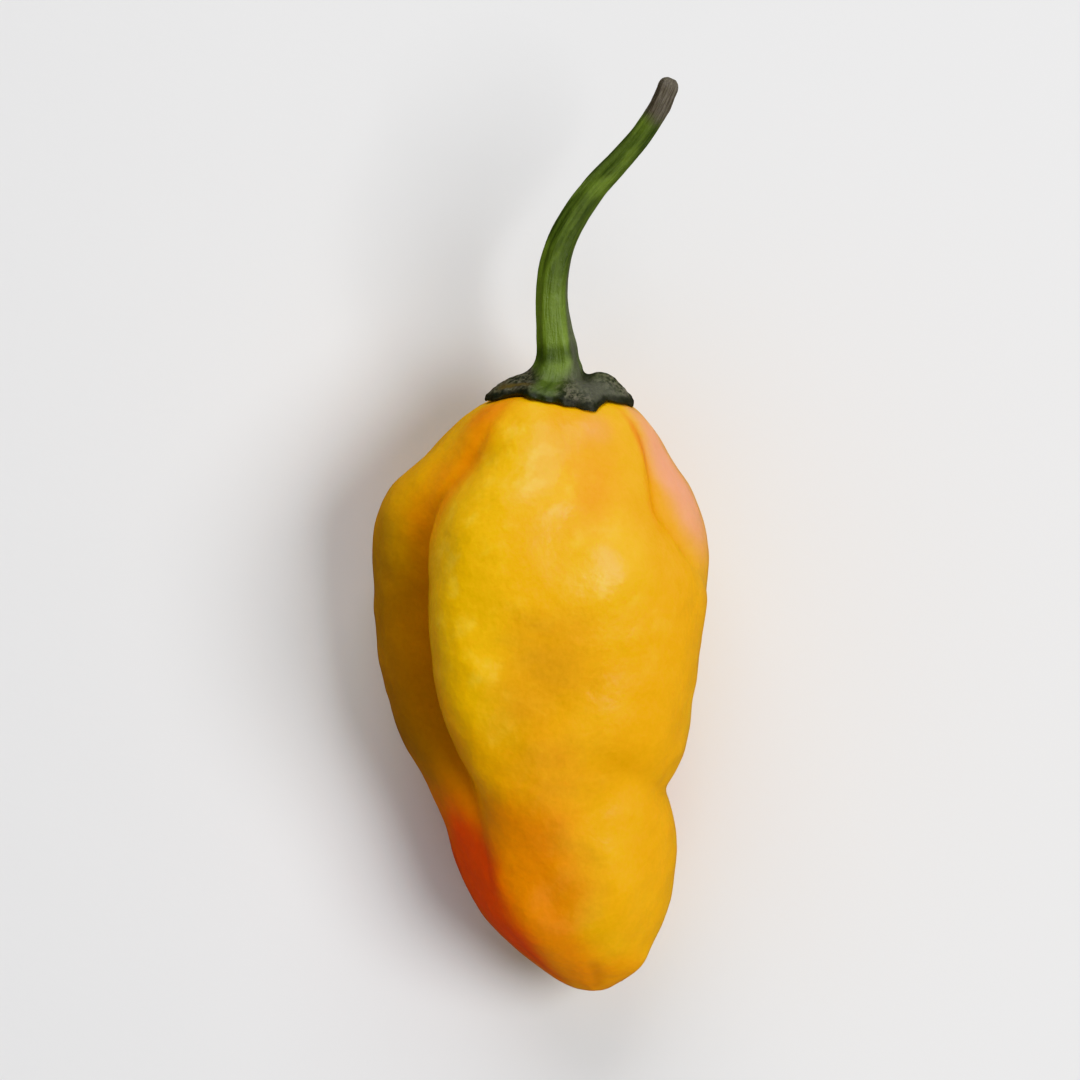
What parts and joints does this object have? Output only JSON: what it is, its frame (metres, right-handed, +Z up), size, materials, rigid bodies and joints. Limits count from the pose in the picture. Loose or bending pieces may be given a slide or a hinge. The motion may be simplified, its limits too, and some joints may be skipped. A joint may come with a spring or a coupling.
{
  "type": "habanero pepper",
  "caption": "Picked habanero pepper lying on its side: a furrowed three-lobed pod with a folded waist and a blunt end, and a curved ribbed stem that spreads into a toothed calyx.",
  "frame": {"origin": "centre of the bounding box in plan, on the surface that the pepper rests on", "axes": "+Z up; +Y towards the stem end and -Y towards the blossom end; +X to the right as seen from above with the stem away from the viewer"},
  "size_m": [0.0294, 0.0794, 0.0254],
  "materials": {
    "pepper_skin": "waxy yellow-orange skin with a soft gloss, reddening on the lower left flank",
    "green_stem": "dull dark green plant tissue, streaked along the stem, nearly black on the calyx and brown at the cut end"
  },
  "bodies": {
    "root": {"pod": "pepper_skin", "stem_and_calyx": "green_stem"}
  },
  "joints": []
}
